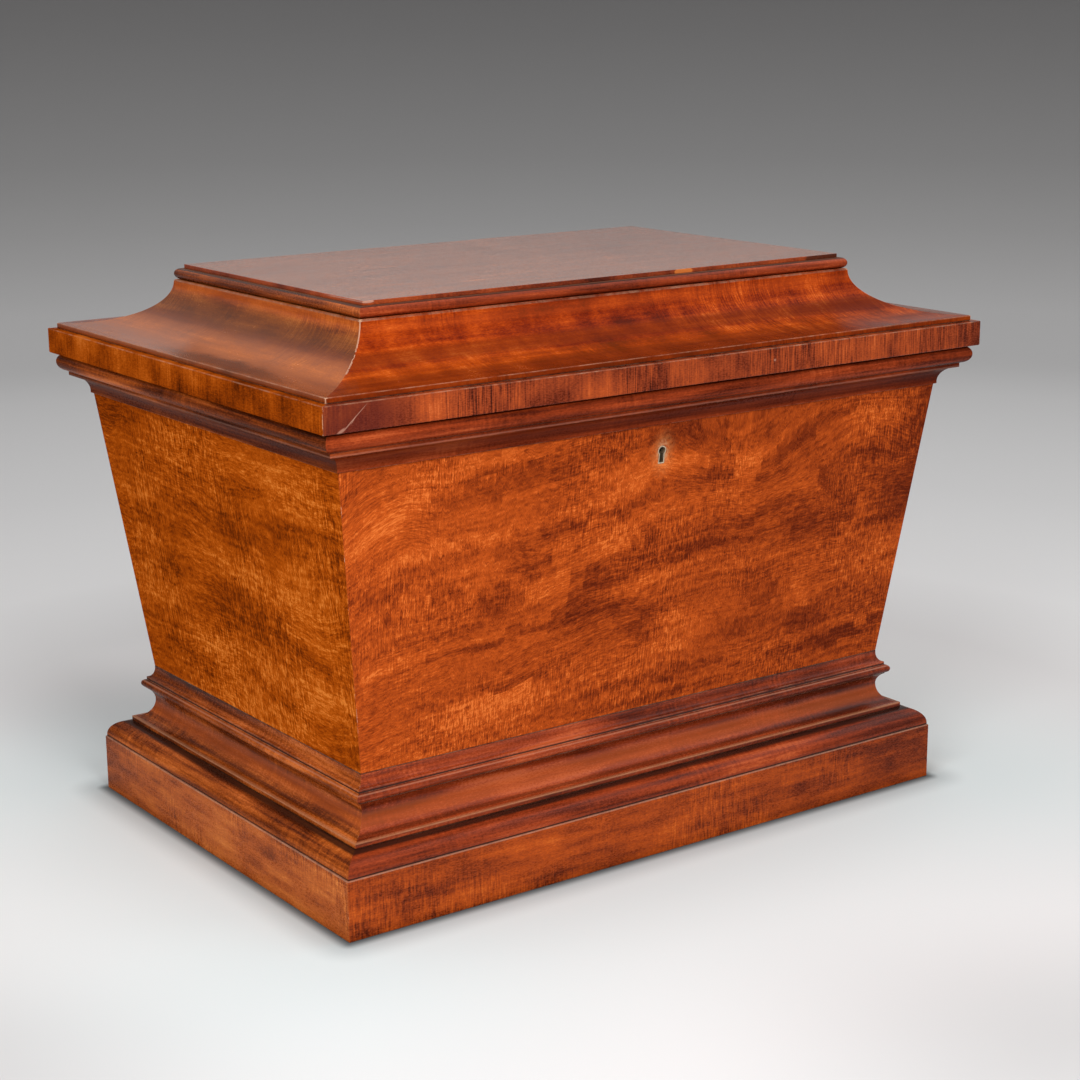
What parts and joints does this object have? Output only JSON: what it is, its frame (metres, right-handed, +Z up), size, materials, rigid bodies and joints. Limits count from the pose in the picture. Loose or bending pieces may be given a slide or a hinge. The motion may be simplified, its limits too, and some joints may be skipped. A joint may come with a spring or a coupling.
{
  "type": "cellarette",
  "caption": "Tapered wooden chest for bottles on a moulded plinth, with a hinged coved lid, a lined inside with bottle cells, and a box lock.",
  "frame": {"origin": "on the floor, under the middle of the plinth", "axes": "+X to the right along the long side, +Y from the keyhole side to the back, +Z up"},
  "size_m": [0.7622, 0.54, 0.5503],
  "materials": {
    "front_veneer": "flame mahogany veneer, polished",
    "end_veneer": "mahogany veneer, polished",
    "band_veneer": "cross-banded mahogany veneer, polished",
    "cove_veneer": "mahogany veneer, polished",
    "top_veneer": "mahogany veneer, polished",
    "plinth_veneer": "mahogany veneer, polished",
    "moulding_wood": "dark mahogany, polished",
    "carcass_wood": "plain softwood, unpolished",
    "divider_wood": "plain mahogany, oiled",
    "zinc": "dull grey zinc sheet",
    "brass": "aged brass",
    "steel": "dull bright steel"
  },
  "bodies": {
    "carcass": {"plinth_front": "plinth_veneer", "plinth_back": "plinth_veneer", "plinth_left": "plinth_veneer", "plinth_right": "plinth_veneer", "plinth_block_front_left": "carcass_wood", "plinth_block_front_right": "carcass_wood", "plinth_block_back_left": "carcass_wood", "plinth_block_back_right": "carcass_wood", "ovolo_front": "moulding_wood", "ovolo_back": "moulding_wood", "ovolo_left": "moulding_wood", "ovolo_right": "moulding_wood", "waist_moulding_front": "moulding_wood", "waist_moulding_back": "moulding_wood", "waist_moulding_left": "moulding_wood", "waist_moulding_right": "moulding_wood", "carcass_front": "front_veneer", "carcass_back": "front_veneer", "carcass_left": "end_veneer", "carcass_right": "end_veneer", "bottom_board": "carcass_wood", "cornice_front": "moulding_wood", "cornice_back": "moulding_wood", "cornice_left": "moulding_wood", "cornice_right": "moulding_wood", "liner": "zinc", "divider_long_1": "divider_wood", "divider_long_2": "divider_wood", "divider_cross_1": "divider_wood", "divider_cross_2": "divider_wood", "divider_cross_3": "divider_wood", "divider_cross_4": "divider_wood", "lock_plate": "brass", "lock_cap": "steel", "lock_drill_pin": "steel", "keyhole_lining": "brass", "hinge_leaf_carcass_left": "brass", "hinge_pin_left": "steel", "hinge_leaf_carcass_right": "brass", "hinge_pin_right": "steel"},
    "lid": {"lid_rail_front": "band_veneer", "lid_rail_back": "band_veneer", "lid_rail_left": "band_veneer", "lid_rail_right": "band_veneer", "lid_cove_front": "cove_veneer", "lid_cove_back": "cove_veneer", "lid_cove_left": "cove_veneer", "lid_cove_right": "cove_veneer", "lid_torus_front": "moulding_wood", "lid_torus_back": "moulding_wood", "lid_torus_left": "moulding_wood", "lid_torus_right": "moulding_wood", "lid_top": "top_veneer", "link_plate": "brass", "hinge_leaf_lid_left": "brass", "hinge_leaf_lid_right": "brass"},
    "lock_bolt": {"lock_bolt": "steel"}
  },
  "joints": [
    {"name": "lid_hinge", "type": "hinge", "parent": "carcass", "child": "lid", "pos_m": [0, 0.26479, 0.46], "axis": [-1, 0, 0], "range_deg": [0, 100]},
    {"name": "lock_slide", "type": "slide", "parent": "carcass", "child": "lock_bolt", "axis": [1, 0, 0], "range_m": [0, 0.008]}
  ]
}
